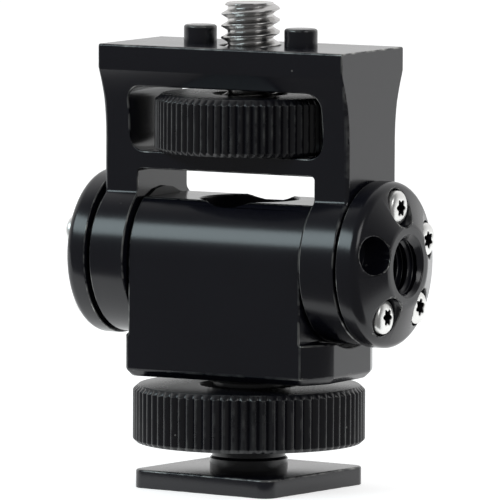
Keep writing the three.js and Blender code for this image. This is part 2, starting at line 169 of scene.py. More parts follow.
soft_lamp("key_lamp", (-0.489, -0.690, 0.534), 0.9, 0.62, 0.29, 2.4, (0.84, 1.0, 1.05))
soft_lamp("fill_lamp", (0.9, -0.35, 0.55), 1.2, 0.5, 0.5, 2.0, (1.0, 1.0, 1.0))

floor_mesh = bpy.data.meshes.new("table")
across, away = right * [1, 1, 0], -back * [1, 1, 0]
near, far = -TABLE_EDGE * away, FLOOR_SIZE * away
side = FLOOR_SIZE / 2 * across
floor_mesh.from_pydata([near - side, near + side, far + side, far - side], [], [(0, 1, 2, 3)])
link(bpy.data.objects.new("table", floor_mesh))
table_white = bpy.data.materials.new("table_white")
table_white.use_nodes = True
ft = table_white.node_tree
ft.nodes.clear()
cloth_top = node(ft, "ShaderNodeBsdfDiffuse", Color=FLOOR_WHITE)
glow = node(ft, "ShaderNodeEmission")
floor_rays = node(ft, "ShaderNodeLightPath")
glow_on = node(ft, "ShaderNodeMath", operation="MAXIMUM")
glow_level = node(ft, "ShaderNodeMath", operation="MULTIPLY")
glow_level.inputs[1].default_value = FLOOR_GLOW
both = node(ft, "ShaderNodeAddShader")
floor_out = node(ft, "ShaderNodeOutputMaterial")
join(
    ft,
    (floor_rays.outputs["Is Camera Ray"], glow_on.inputs[0]),
    (floor_rays.outputs["Is Glossy Ray"], glow_on.inputs[1]),
    (glow_on.outputs[0], glow_level.inputs[0]),
    (glow_level.outputs[0], glow.inputs["Strength"]),
    (cloth_top.outputs[0], both.inputs[0]),
    (glow.outputs[0], both.inputs[1]),
    (both.outputs[0], floor_out.inputs["Surface"]),
)
floor_mesh.materials.append(table_white)

# ---------- shoe foot and stud ----------
# A square plate and its stud turned and milled from one piece of aluminium, blasted and anodised
# black. The plate slides into a shoe; the stud carries the lock wheel and the swivel.
FOOT_SIDE = 18.2
FOOT_THICK = 2.0
FOOT_CORNER = 1.5
FOOT_EDGE_LOW, FOOT_EDGE_HIGH = 0.08, 0.22
FOOT_TURN = math.radians(-6.45)
COLLAR_R, COLLAR_TOP = 4.2, 3.1
STUD_R, STUD_TOP = 3.95, 11.45
STUD_BOTTOM, SPIGOT_R, SPIGOT_TOP = 0.5, 3.0, 26.0
BLACK = (0.0058, 0.0060, 0.0104, 1.0)
BLACK_LIGHT = (0.0080, 0.0082, 0.0134, 1.0)
# The bare metal colour for narrow rounded edges: partly abrasion, partly a painted glint along the edges.
BARE_AND_GLINT = (0.46, 0.46, 0.44, 1.0)


def rounded(points, radii, steps=6, closed=False):
    """A polyline whose corners are replaced by arcs: each arc touches both sides at a distance
    of radius / tan(half the corner's angle) from the corner."""
    p = np.array(points, float)
    out = []
    n = len(p)
    for i in range(n):
        r = radii[i] if hasattr(radii, "__len__") else radii
        if r <= 0 or (not closed and i in (0, n - 1)):
            out.append(p[i : i + 1])
            continue
        a, b, c = p[i - 1], p[i], p[(i + 1) % n]
        u = (a - b) / np.linalg.norm(a - b)
        v = (c - b) / np.linalg.norm(c - b)
        half = math.acos(max(-1.0, min(1.0, float(u @ v)))) / 2
        if half > math.pi / 2 - 1e-3:
            out.append(p[i : i + 1])
            continue
        reach = min(r / math.tan(half), 0.49 * np.linalg.norm(a - b), 0.49 * np.linalg.norm(c - b))
        r = reach * math.tan(half)
        mid = (u + v) / np.linalg.norm(u + v)
        centre = b + mid * r / math.sin(half)
        start, end = b + u * reach - centre, b + v * reach - centre
        turn = math.atan2(start[0] * end[1] - start[1] * end[0], start @ end)
        t = np.linspace(0, turn, steps + 1)[:, None]
        spun = np.hstack(
            [start[0] * np.cos(t) - start[1] * np.sin(t), start[0] * np.sin(t) + start[1] * np.cos(t)]
        )
        out.append(centre + spun)
    return np.vstack(out)


def turned(profile, count=128):
    """Rings about Z: each [radius, height] of the profile becomes one ring of points,
    (radius cos t, radius sin t, height)."""
    profile = np.array(profile, float)
    t = np.arange(count) * 2 * math.pi / count
    r, z = profile[:, :1], profile[:, 1:]
    return np.stack([r * np.cos(t), r * np.sin(t), z + 0 * t], -1)


def along_x(rings):
    """The same rings turned from the Z axis to the X axis: z becomes x, x becomes y, y becomes z."""
    return np.stack([rings[..., 2], rings[..., 0], rings[..., 1]], -1)


def skin(name, rings, caps=False, sharp=35.0):
    """A mesh from rings of points, in millimetres: quads between neighbouring rings, flat ends
    where caps is set, otherwise rings that close on a point or on each other."""
    rows, count = rings.shape[:2]
    i = np.arange((rows - 1) * count).reshape(rows - 1, count)
    j = np.roll(i, -1, axis=1)
    quads = np.stack([i, j, j + count, i + count], -1).reshape(-1, 4)
    faces = quads.tolist()
    if caps:
        last = (rows - 1) * count
        faces += [list(range(count))[::-1], list(range(last, last + count))]
    mesh = bpy.data.meshes.new(name)
    mesh.from_pydata((rings.reshape(-1, 3) * MM).tolist(), [], faces)
    return clean(mesh, sharp)


def clean(mesh, sharp=35.0):
    """Doubles merged, degenerate edges and faces dissolved, faces turned outwards, and edges sharper than the
    angle kept sharp while the rest is smooth."""
    bm = bmesh.new()
    bm.from_mesh(mesh)
    bmesh.ops.remove_doubles(bm, verts=bm.verts, dist=2e-7)
    bmesh.ops.dissolve_degenerate(bm, edges=bm.edges, dist=1e-7)
    bmesh.ops.recalc_face_normals(bm, faces=bm.faces)
    bm.to_mesh(mesh)
    bm.free()
    mesh.polygons.foreach_set("use_smooth", np.ones(len(mesh.polygons), bool))
    mesh.set_sharp_from_angle(angle=math.radians(sharp))
    return mesh


def placed(mesh, at=(0, 0, 0), turn=0.0, axis="Z"):
    """The mesh turned about an axis and moved, in metres."""
    mesh.transform(Matrix.Translation(tuple(at)) @ Matrix.Rotation(turn, 4, axis))
    return mesh


def grain_group():
    """Blasted and anodised metal: a fine bump, a slow drift of tone, and rare pinpricks."""
    g = bpy.data.node_groups.new("blasted_grain", "ShaderNodeTree")
    io = g.interface
    io.new_socket("Vector", in_out="INPUT", socket_type="NodeSocketVector")
    for label, value in (("Grain Scale", 9000.0), ("Drift Scale", 160.0), ("Prick Scale", 900.0)):
        io.new_socket(label, in_out="INPUT", socket_type="NodeSocketFloat").default_value = value
    for label in ("Height", "Drift", "Pricks"):
        io.new_socket(label, in_out="OUTPUT", socket_type="NodeSocketFloat")
    inp, out = node(g, "NodeGroupInput"), node(g, "NodeGroupOutput")
    grain = node(g, "ShaderNodeTexNoise", Detail=3.0, Roughness=0.6)
    drift = node(g, "ShaderNodeTexNoise", Detail=5.0, Roughness=0.55)
    cells = node(g, "ShaderNodeTexVoronoi", feature="F1")
    prick = node(g, "ShaderNodeMapRange", interpolation_type="SMOOTHSTEP")
    prick.inputs["From Min"].default_value = 0.12
    prick.inputs["From Max"].default_value = 0.05
    lucky = node(g, "ShaderNodeMath", operation="GREATER_THAN")
    lucky.inputs[1].default_value = 0.985
    split = node(g, "ShaderNodeSeparateColor")
    rare = node(g, "ShaderNodeMath", operation="MULTIPLY")
    join(
        g,
        (inp.outputs["Vector"], grain.inputs["Vector"]),
        (inp.outputs["Vector"], drift.inputs["Vector"]),
        (inp.outputs["Vector"], cells.inputs["Vector"]),
        (inp.outputs["Grain Scale"], grain.inputs["Scale"]),
        (inp.outputs["Drift Scale"], drift.inputs["Scale"]),
        (inp.outputs["Prick Scale"], cells.inputs["Scale"]),
        (cells.outputs["Distance"], prick.inputs["Value"]),
        (cells.outputs["Color"], split.inputs[0]),
        (split.outputs[0], lucky.inputs[0]),
        (prick.outputs["Result"], rare.inputs[0]),
        (lucky.outputs[0], rare.inputs[1]),
        (grain.outputs[0], out.inputs["Height"]),
        (drift.outputs[0], out.inputs["Drift"]),
        (rare.outputs[0], out.inputs["Pricks"]),
    )
    return g


GRAIN = grain_group()


def anodised(name, dark=BLACK, light=BLACK_LIGHT, rough=0.19, bump=0.06, pricks=1.0, wear_and_glint=1.0):
    """Black anodised aluminium: tone and gloss drift slowly, a fine grain bumps the surface,
    and bare metal shows on narrow rounded edges, partly as abrasion and partly as a painted edge glint."""
    m = bpy.data.materials.new(name)
    m.use_nodes = True
    t = m.node_tree
    t.nodes.clear()
    coord = node(t, "ShaderNodeTexCoord")
    grain = node(t, "ShaderNodeGroup", node_tree=GRAIN)
    tone = node(t, "ShaderNodeMix", data_type="RGBA")
    tone.inputs[6].default_value, tone.inputs[7].default_value = dark, light
    rub_and_glint = node(t, "ShaderNodeAttribute", attribute_name="rub_and_glint")
    rub_and_glint_noise = node(t, "ShaderNodeTexNoise", Scale=700.0, Detail=4.0)
    rub_and_glint_amount = node(t, "ShaderNodeMapRange")
    rub_and_glint_amount.inputs["From Min"].default_value = 0.42
    rub_and_glint_amount.inputs["From Max"].default_value = 0.72
    rub_and_glint_amount.inputs["To Max"].default_value = wear_and_glint
    rubbed_and_glint = node(t, "ShaderNodeMath", operation="MULTIPLY")
    prick = node(t, "ShaderNodeMath", operation="MULTIPLY_ADD", use_clamp=True)
    prick.inputs[1].default_value = pricks
    worn_and_glint = node(t, "ShaderNodeMix", data_type="RGBA")
    worn_and_glint.inputs[7].default_value = BARE_AND_GLINT
    gloss = node(t, "ShaderNodeMapRange")
    gloss.inputs["To Min"].default_value = rough - 0.02
    gloss.inputs["To Max"].default_value = rough + 0.03
    lift = node(t, "ShaderNodeBump", Strength=bump, Distance=0.00002)
    shade = node(t, "ShaderNodeBsdfPrincipled", Metallic=0.0, IOR=1.52)
    out = node(t, "ShaderNodeOutputMaterial")
    join(
        t,
        (coord.outputs["Object"], grain.inputs["Vector"]),
        (coord.outputs["Object"], rub_and_glint_noise.inputs["Vector"]),
        (grain.outputs["Drift"], tone.inputs[0]),
        (rub_and_glint_noise.outputs[0], rub_and_glint_amount.inputs["Value"]),
        (rub_and_glint_amount.outputs[0], rubbed_and_glint.inputs[0]),
        (rub_and_glint.outputs["Fac"], rubbed_and_glint.inputs[1]),
        (grain.outputs["Pricks"], prick.inputs[0]),
        (rubbed_and_glint.outputs[0], prick.inputs[2]),
        (prick.outputs[0], worn_and_glint.inputs[0]),
        (tone.outputs[2], worn_and_glint.inputs[6]),
        (worn_and_glint.outputs[2], shade.inputs["Base Color"]),
        (prick.outputs[0], shade.inputs["Metallic"]),
        (grain.outputs["Drift"], gloss.inputs["Value"]),
        (gloss.outputs[0], shade.inputs["Roughness"]),
        (grain.outputs["Height"], lift.inputs["Height"]),
        (lift.outputs[0], shade.inputs["Normal"]),
        (shade.outputs[0], out.inputs["Surface"]),
    )
    return m


def edge_rub_and_glint(mesh, sharpest=0.22):
    """A face attribute that is 1 on narrow rounded edges and 0 on open faces: each face's
    outward curvature, half the sum of its edges' bends times their lengths over its area."""
    sizes = {"edges": len(mesh.edges), "polygons": len(mesh.polygons), "loops": len(mesh.loops)}
    co = np.empty(len(mesh.vertices) * 3)
    mesh.vertices.foreach_get("co", co)
    co = co.reshape(-1, 3)
    normals, centres = np.empty(sizes["polygons"] * 3), np.empty(sizes["polygons"] * 3)
    area, totals = np.empty(sizes["polygons"]), np.empty(sizes["polygons"], int)
    mesh.polygons.foreach_get("normal", normals)
    mesh.polygons.foreach_get("center", centres)
    mesh.polygons.foreach_get("area", area)
    mesh.polygons.foreach_get("loop_total", totals)
    normals, centres = normals.reshape(-1, 3), centres.reshape(-1, 3)
    ends, of_loop = np.empty(sizes["edges"] * 2, int), np.empty(sizes["loops"], int)
    mesh.edges.foreach_get("vertices", ends)
    mesh.loops.foreach_get("edge_index", of_loop)
    ends = ends.reshape(-1, 2)
    owner = np.repeat(np.arange(sizes["polygons"]), totals)
    order = np.argsort(of_loop, kind="stable")
    e, f = of_loop[order], owner[order]
    pair = np.nonzero(e[:-1] == e[1:])[0]
    a, b, k = f[pair], f[pair + 1], ends[e[pair]]
    bend = np.arccos(np.clip((normals[a] * normals[b]).sum(1), -1, 1))
    outward = ((centres[b] - centres[a]) * normals[a]).sum(1) < 0
    turn = np.where(outward, bend, -bend) * np.linalg.norm(co[k[:, 0]] - co[k[:, 1]], axis=1) / 2
    curve = np.zeros(sizes["polygons"])
    np.add.at(curve, a, turn)
    np.add.at(curve, b, turn)
    curve /= np.maximum(area, 1e-5 * MM * MM)
    # On these edges the material shows bare metal, partly abrasion and partly a painted edge glint.
    layer = mesh.attributes.new("rub_and_glint", "FLOAT", "FACE")
    layer.data.foreach_set("value", np.clip(curve * sharpest * MM - 0.25, 0, 1))


def piece(name, mesh, material, body, nodes=()):
    """A finished object: its material, the body that it rides on and the nodes it stands for."""
    mesh.materials.clear()
    mesh.materials.append(material)
    obj = link(bpy.data.objects.new(name, mesh))
    if nodes:
        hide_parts(*nodes)
    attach(obj, body)
    return obj


def rim(hx, hy, r, steps=10):
    """A rounded rectangle's outline, counter-clockwise."""
    return rounded([(hx, -hy), (hx, hy), (-hx, hy), (-hx, -hy)], r, steps, closed=True)


def slab(outline, bottom, top, edge_low, edge_high=None, steps=4):
    """Rings of an upright slab with rounded edges: towards each face the outline shrinks by
    edge (1 - cos t) while the height turns through edge sin t. The edge may vary along the outline."""
    low = np.broadcast_to(edge_low, len(outline))[:, None]
    high = low if edge_high is None else np.broadcast_to(edge_high, len(outline))[:, None]
    step = np.roll(outline, -1, 0) - np.roll(outline, 1, 0)
    inward = np.stack([-step[:, 1], step[:, 0]], -1)
    inward /= np.linalg.norm(inward, axis=1, keepdims=True)
    t = np.linspace(math.pi / 2, 0, steps + 1)
    below = [
        np.hstack([outline + low * (1 - math.cos(a)) * inward, bottom + low * (1 - math.sin(a))])
        for a in t
    ]
    above = [
        np.hstack([outline + high * (1 - math.cos(a)) * inward, top - high * (1 - math.sin(a))])
        for a in t[::-1]
    ]
    return np.stack(below + above)


satin = anodised("satin_anodised")
plate_outline = rim(FOOT_SIDE / 2, FOOT_SIDE / 2, FOOT_CORNER)
plate = placed(
    skin("foot_plate", slab(plate_outline, 0, FOOT_THICK, FOOT_EDGE_LOW, FOOT_EDGE_HIGH), caps=True),
    turn=FOOT_TURN,
)
edge_rub_and_glint(plate)
piece("foot_plate", plate, satin, "foot", ["shoe_foot"])
stud_profile = rounded(
    [
        (0, STUD_BOTTOM), (COLLAR_R, STUD_BOTTOM), (COLLAR_R, COLLAR_TOP), (STUD_R, COLLAR_TOP + 0.25),
        (STUD_R, STUD_TOP), (SPIGOT_R, STUD_TOP), (SPIGOT_R, SPIGOT_TOP), (0, SPIGOT_TOP),
    ],
    [0, 0, 0.08, 0.08, 0.1, 0, 0.1, 0],
)
piece("foot_stud", skin("foot_stud", turned(stud_profile)), satin, "foot")

# ---------- lock wheel ----------
# A turned aluminium wheel with a straight knurl, threaded on the stud. It clamps the shoe's lips.
# The rim's chamfers cut the knurl off in small arches.
LOCK_R = 12.49
LOCK_TEETH = 74
LOCK_KNURL = 0.36
KNURL_BLACK = (0.0040, 0.0040, 0.0066, 1)
KNURL_BLACK_LIGHT = (0.0068, 0.0068, 0.0104, 1)
LOCK_PROFILE = [
    (4.5, 5.6), (7.8, 5.6), (7.8, 4.8), (12.05, 4.8), (12.49, 5.2), (12.49, 10.45), (11.9, 11.0),
    (5.42, 11.0), (5.26, 10.84), (5.26, 10.3), (4.5, 10.3),
]
LOCK_ROUNDING = [0, 0.05, 0.05, 0.15, 0.15, 0.2, 0.2, 0.05, 0.05, 0.05, 0.05]


def knurled(profile, teeth, outer, depth, land=0.16, samples=8, turn=0.0):
    """Rings of a knurled wheel: the radius is the smaller of the turned blank's and the knurl's,
    outer - depth g, where g rises evenly from 0 on a tooth's land to 1 in the groove's middle."""
    count = teeth * samples
    t = np.arange(count) * 2 * math.pi / count + turn
    phase = (np.arange(count) / samples) % 1.0
    g = np.clip((1 - np.abs(2 * phase - 1) - land) / (1 - land), 0, 1)
    g = np.minimum(g, 0.9 + 0.1 * g)
    wall = outer - depth * g
    r, z = profile[:, :1], profile[:, 1:]
    r = np.minimum(r, np.maximum(wall, 0))
    return np.stack([r * np.cos(t), r * np.sin(t), z + 0 * t], -1)


def closed_loop(profile):
    return np.vstack([profile, profile[:1]])


knurl_black = anodised(
    "knurled_black", dark=KNURL_BLACK, light=KNURL_BLACK_LIGHT, rough=0.27, bump=0.08, pricks=1.0, wear_and_glint=0.22
)
lock_profile = closed_loop(rounded(LOCK_PROFILE, LOCK_ROUNDING, 4, closed=True))
lock_rings = knurled(lock_profile, LOCK_TEETH, LOCK_R, LOCK_KNURL)
lock_mesh = skin("lock_wheel_turned", lock_rings, sharp=50)
edge_rub_and_glint(lock_mesh)
piece("lock_wheel_turned", lock_mesh, knurl_black, "lock_wheel", ["lock_wheel"])

# ---------- block ----------
# One milled block: a wide base with turned corners, a narrower neck and a round barrel across the
# top, flattened and counterbored for the swivel screw. Its front is plain.
BASE_BOTTOM, SHOULDER = -12.75, -8.35
BASE_HALF, BLOCK_HALF, BASE_TURNED_R, BASE_EDGE = 12.65, 7.9, 13.25, 0.75
BARREL_HALF = 10.5
BARREL_FLAT = 6.35
COUNTERBORE_R, COUNTERBORE_FLOOR = 5.35, 1.75
SWIVEL_BORE_R = 3.3
EAR_RELIEF_R = 9.05
STUB_BORE_R, STUB_BORE_END = 4.3, 6.4


def footprint(inset, count=360):
    """The base's outline by angle: the nearest of the side planes, the front planes and the
    turned circle, each moved inwards by the inset."""
    corner = [math.acos(BASE_HALF / BASE_TURNED_R), math.asin(BLOCK_HALF / BASE_TURNED_R)]
    t = np.linspace(0, math.pi / 2, count // 4, endpoint=False)
    t = np.unique(np.concatenate([t, corner]))
    t = np.concatenate([t, t + math.pi / 2, t + math.pi, t + 1.5 * math.pi])
    corner = np.array(corner)
    mirrored = np.concatenate([corner, np.pi - corner, np.pi + corner, 2 * np.pi - corner])
    t = np.unique(np.concatenate([t, mirrored]))
    c, s = np.abs(np.cos(t)), np.abs(np.sin(t))
    r = np.minimum.reduce([
        (BASE_HALF - inset) / np.maximum(c, 1e-6),
        (BLOCK_HALF - inset) / np.maximum(s, 1e-6),
        np.full(len(t), BASE_TURNED_R - inset),
    ])
    return np.column_stack([r * np.cos(t), r * np.sin(t)])


def lifted(rings):
    """Rings given from the tilt axis, moved up to it."""
    return rings + AXIS / MM


def solid(name, rings, caps=True):
    """A tool or blank for cutting, not yet a piece."""
    return link(bpy.data.objects.new(name, skin(name, rings, caps)))


def carved(blank, tools, operation="DIFFERENCE"):
    """The blank after the tools have been taken from it (or added to it), and the tools thrown away."""
    for tool in tools:
        cut = blank.modifiers.new("cut", "BOOLEAN")
        cut.operation = operation
        cut.solver = "EXACT"
        cut.object = tool
        settle(blank)
        bpy.data.objects.remove(tool)
    return blank


def settle(obj):
    """The object's modifiers carried out in its mesh."""
    deps = bpy.context.evaluated_depsgraph_get()
    mesh = bpy.data.meshes.new_from_object(obj.evaluated_get(deps), depsgraph=deps)
    obj.modifiers.clear()
    obj.data = mesh
    return obj


def broken_edges(obj, width, segments=3, angle=32.0):
    """Every sharp edge rounded by the width, and the finished mesh taken out of the object."""
    bm = bmesh.new()
    bm.from_mesh(obj.data)
    bmesh.ops.remove_doubles(bm, verts=bm.verts, dist=4e-6)
    bmesh.ops.dissolve_limit(bm, angle_limit=math.radians(0.5), verts=bm.verts, edges=bm.edges)
    bm.to_mesh(obj.data)
    bm.free()
    edge = obj.modifiers.new("edge", "BEVEL")
    edge.width = width * MM
    edge.segments = segments
    edge.limit_method = "ANGLE"
    edge.angle_limit = math.radians(angle)
    edge.use_clamp_overlap = False
    edge.miter_outer = "MITER_ARC"
    settle(obj)
    obj.data.polygons.foreach_set("use_smooth", np.ones(len(obj.data.polygons), bool))
    obj.data.set_sharp_from_angle(angle=math.radians(40))
    edge_rub_and_glint(obj.data)
    even = obj.modifiers.new("even", "WEIGHTED_NORMAL")
    even.keep_sharp = True
    even.weight = 90
    mesh = settle(obj).data
    bpy.data.objects.remove(obj)
    return mesh


def prism_along_x(outline, x0, x1, edge=0.0, steps=3):
    """An outline in Y and Z carried along X, its two ends rounded."""
    if np.any(edge):
        rings = slab(outline, x0, x1, edge, steps=steps)
    else:
        rings = np.stack([np.column_stack([outline, np.full(len(outline), x)]) for x in (x0, x1)])
    return np.stack([rings[..., 2], rings[..., 0], rings[..., 1]], -1)


def barrel_outline():
    """The neck's straight sides and the barrel's round, cut flat at the top."""
    lean = math.asin(BARREL_FLAT / BLOCK_HALF)
    t = np.linspace(0, lean, 40)
    side = np.column_stack([BLOCK_HALF * np.cos(t), BLOCK_HALF * np.sin(t)])
    other = side[::-1] * [-1, 1]
    return np.vstack([[(BLOCK_HALF, SHOULDER - 1)], side, other, [(-BLOCK_HALF, SHOULDER - 1)]])


def rod(radius, a, b, count=96, along="x"):
    """A plain round bar from a to b."""
    rings = turned([(radius, a), (radius, b)], count)
    return along_x(rings) if along == "x" else rings


base = np.stack([
    np.column_stack([footprint(BASE_EDGE), np.full(len(footprint(0)), BASE_BOTTOM)]),
    np.column_stack([footprint(0), np.full(len(footprint(0)), BASE_BOTTOM + BASE_EDGE)]),
    np.column_stack([footprint(0), np.full(len(footprint(0)), SHOULDER)]),
])
block = solid("block", lifted(base))
neck = solid("neck", lifted(prism_along_x(barrel_outline(), -BARREL_HALF, BARREL_HALF)))
block = carved(block, [neck], "UNION")
block = carved(block, [
    solid("relief_left", lifted(rod(EAR_RELIEF_R, -BASE_HALF - 2, -BARREL_HALF))),
    solid("relief_right", lifted(rod(EAR_RELIEF_R, BARREL_HALF, BASE_HALF + 2))),
    solid("stub_bore_left", lifted(rod(STUB_BORE_R, -BARREL_HALF - 1, -STUB_BORE_END, 64))),
    solid("stub_bore_right", lifted(rod(STUB_BORE_R, STUB_BORE_END, BARREL_HALF + 1, 64))),
    solid("counterbore", lifted(rod(COUNTERBORE_R, COUNTERBORE_FLOOR, BLOCK_HALF + 1, 128, "z"))),
    solid("swivel_bore", lifted(rod(SWIVEL_BORE_R, BASE_BOTTOM - 1, COUNTERBORE_FLOOR + 1, 64, "z"))),
])
piece("block_milled", broken_edges(block, 0.2), satin, "block", ["base_block"])

# ---------- fork ----------
# Milled from one bar: two legs with round ears, a bridge, a window for the thumb wheel and a solid
# head. Its outer corners are rounded on the legs and only broken on the head.
FORK_HALF = 14.95
EAR_INNER = 10.8
EAR_R = 8.65
HEAD_HALF, WAIST_HALF = 6.8, 5.35
FORK_TOP, TAPER_TOP, WAIST_TOP = 22.8, 20.3, 12.8
EAR_FILLET = 0.7
BRIDGE_BOTTOM, BRIDGE_TOP, WINDOW_TOP = 9.45, 11.35, 18.35
WINDOW_HALF, WINDOW_CORNER = 11.8, 1.7
SCREW_HOLE_R = 3.35


def arc(cx, cz, r, a, b, steps):
    t = np.linspace(a, b, steps + 1)
    return np.column_stack([cx + r * np.cos(t), cz + r * np.sin(t)])


def fork_outline():
    """The fork from its side, in Y and Z: flat head, a taper on an arc that meets the waist
    smoothly, a fillet that touches the waist and the ear, and the ear's round."""
    rise, inset = TAPER_TOP - WAIST_TOP, HEAD_HALF - WAIST_HALF
    taper_r = (rise**2 + inset**2) / (2 * inset)
    sweep = math.asin(rise / taper_r)
    fx = WAIST_HALF + EAR_FILLET
    fz = math.sqrt((EAR_R + EAR_FILLET) ** 2 - fx**2)
    touch = math.atan2(fz, fx)
    half = np.vstack([
        rounded([(HEAD_HALF, TAPER_TOP), (HEAD_HALF, FORK_TOP), (0, FORK_TOP)], 0.25, 4)[:-1],
    ])
    right_side = np.vstack([
        arc(0, 0, EAR_R, -math.pi / 2, touch, 64),
        arc(fx, fz, EAR_FILLET, math.pi + touch, math.pi, 12)[1:],
        arc(WAIST_HALF + taper_r, WAIST_TOP, taper_r, math.pi, math.pi - sweep, 24),
        half[1:],
    ])
    left_side = (right_side * [-1, 1])[::-1]
    return np.vstack([right_side, left_side[:-1]])


side_view = fork_outline()
soft = np.clip((TAPER_TOP - 0.5 - side_view[:, 1]) / 3.0, 0, 1) * np.clip((side_view[:, 1] - 3.0) / 4.0, 0, 1)
fork = solid("fork", lifted(prism_along_x(side_view, -FORK_HALF, FORK_HALF, 0.16 + 0.30 * soft, 4)))


def prism_along_y(outline, y0, y1):
    """An outline in X and Z carried along Y."""
    rings = np.stack([np.column_stack([outline, np.full(len(outline), y)]) for y in (y0, y1)])
    return np.stack([rings[..., 0], rings[..., 2], rings[..., 1]], -1)


window = rim(WINDOW_HALF, (WINDOW_TOP - BRIDGE_TOP) / 2, WINDOW_CORNER, 10)
window = window + [0, (WINDOW_TOP + BRIDGE_TOP) / 2]
mouth = rounded(
    [(EAR_INNER, -12), (EAR_INNER, BRIDGE_BOTTOM), (-EAR_INNER, BRIDGE_BOTTOM), (-EAR_INNER, -12)],
    [0, 0.35, 0.35, 0],
    5,
    closed=True,
)
fork = carved(fork, [
    solid("window", lifted(prism_along_y(window, -12, 12))),
    solid("mouth", lifted(prism_along_y(mouth, -12, 12))),
    solid("ear_bore", lifted(rod(STUB_BORE_R, -FORK_HALF - 1, FORK_HALF + 1, 64))),
    solid("screw_hole", lifted(rod(SCREW_HOLE_R, WINDOW_TOP - 1, FORK_TOP + 1, 64, "z"))),
])
piece("fork_milled", broken_edges(fork, 0.16), satin, "fork", ["yoke"])

# ---------- thumb wheel, its screw and the locating pins ----------
# The knurled thumb wheel is caught in the fork's window. It is fixed by a grub screw to a plated
# steel 1/4"-20 screw, and two black pins beside it stop the accessory from turning.
THUMB_R = 10.25
THUMB_TEETH = 74
THUMB_KNURL, THUMB_START = 0.30, 0.02
THUMB_PROFILE = [
    (3.475, 11.85), (5.8, 11.85), (5.8, 11.45), (9.8, 11.45), (10.25, 11.9), (10.25, 16.95), (9.5, 17.6),
    (4.12, 17.6), (4.0, 17.48), (4.0, 17.1), (3.475, 17.1),
]
THUMB_ROUNDING = [0, 0.05, 0.05, 0.15, 0.15, 0.25, 0.25, 0.05, 0.05, 0.05, 0.05]
SCREW_R, SCREW_PITCH, SCREW_DEPTH = 3.175, 1.27, 0.70
SCREW_FROM, SCREW_TO, SCREW_TIP = 11.85, 27.4, 0.62
PIN_AT, PIN_R, PIN_TOP = 6.18, 1.79, 24.8
PIN_FOOT, PIN_SPIGOT_R = 20.6, 1.2

thumb_profile = closed_loop(rounded(THUMB_PROFILE, THUMB_ROUNDING, 4, closed=True))
thumb_rings = knurled(thumb_profile, THUMB_TEETH, THUMB_R, THUMB_KNURL, turn=THUMB_START)
thumb_mesh = skin("thumb_wheel_turned", lifted(thumb_rings), sharp=50)
edge_rub_and_glint(thumb_mesh)
piece("thumb_wheel_turned", thumb_mesh, knurl_black, "thumb_screw", ["thumb_wheel"])


def thread_depth(turns, pitch, depth):
    """How deep the thread lies below its crest, for a height given in turns along the helix: a
    sixty-degree groove with a flat crest an eighth of a pitch wide."""
    away = np.abs((turns % 1.0) - 0.5)
    away = (0.5 - away) * pitch
    return np.clip((away - pitch / 16) * math.sqrt(3), 0, depth)


def threaded_bar(radius, pitch, depth, bottom, top, tip, count=96, per_pitch=26):
    """Rings of a right-handed screw: at height z and angle t the radius is the crest's less the
    thread's depth at z / pitch - t / 2 pi turns, and no more than the tip's cone."""
    z = np.arange(bottom, top, pitch / per_pitch)
    z = np.append(z[z < top - 0.01], top)[:, None]
    t = (np.arange(count) * 2 * math.pi / count)[None, :]
    r = radius - thread_depth(z / pitch - t / (2 * math.pi), pitch, depth)
    r = np.minimum(r, radius - tip + np.maximum(top - z, 0) * 1.0)
    rings = np.stack([r * np.cos(t), r * np.sin(t), z + 0 * t], -1)
    ends = [rings[:1] * [0, 0, 1], rings, rings[-1:] * [0.5, 0.5, 1], rings[-1:] * [0, 0, 1]]
    return np.concatenate(ends)


def metal(name, colour, rough, bump=0.12, grain_scale=2600.0):
    """Bare or plated metal: nearly even colour, a gloss that drifts, faint marks of the tool."""
    m = bpy.data.materials.new(name)
    m.use_nodes = True
    t = m.node_tree
    t.nodes.clear()
    coord = node(t, "ShaderNodeTexCoord")
    grain = node(t, "ShaderNodeGroup", node_tree=GRAIN)
    grain.inputs["Grain Scale"].default_value = grain_scale
    grain.inputs["Drift Scale"].default_value = 420.0
    tone = node(t, "ShaderNodeMix", data_type="RGBA")
    tone.inputs[6].default_value = tuple(0.82 * c for c in colour) + (1.0,)
    tone.inputs[7].default_value = tuple(colour) + (1.0,)
    gloss = node(t, "ShaderNodeMapRange")
    gloss.inputs["To Min"].default_value = rough * 0.75
    gloss.inputs["To Max"].default_value = rough * 1.35
    lift = node(t, "ShaderNodeBump", Strength=bump, Distance=0.00003)
    shade = node(t, "ShaderNodeBsdfPrincipled", Metallic=1.0)
    out = node(t, "ShaderNodeOutputMaterial")
    join(
        t,
        (coord.outputs["Object"], grain.inputs["Vector"]),
        (grain.outputs["Drift"], tone.inputs[0]),
        (tone.outputs[2], shade.inputs["Base Color"]),
        (grain.outputs["Drift"], gloss.inputs["Value"]),
        (gloss.outputs[0], shade.inputs["Roughness"]),
        (grain.outputs["Height"], lift.inputs["Height"]),
        (lift.outputs[0], shade.inputs["Normal"]),
        (shade.outputs[0], out.inputs["Surface"]),
    )
    return m


bright_steel = metal("bright_steel", (0.62, 0.61, 0.60), 0.22)
# Painted shade: this dark metal stands in for the shade deep inside the six-lobe recesses.
recess_painted_shade = metal("recess_painted_shade", (0.035, 0.035, 0.04), 0.5)
polished_steel = metal("polished_steel", (0.97, 0.97, 0.95), 0.3)
screw_mesh = skin(
    "quarter_inch_screw",
    lifted(threaded_bar(SCREW_R, SCREW_PITCH, SCREW_DEPTH, SCREW_FROM, SCREW_TO, SCREW_TIP)),
    sharp=60,
)
piece("quarter_inch_screw", screw_mesh, bright_steel, "thumb_screw", ["mount_screw"])

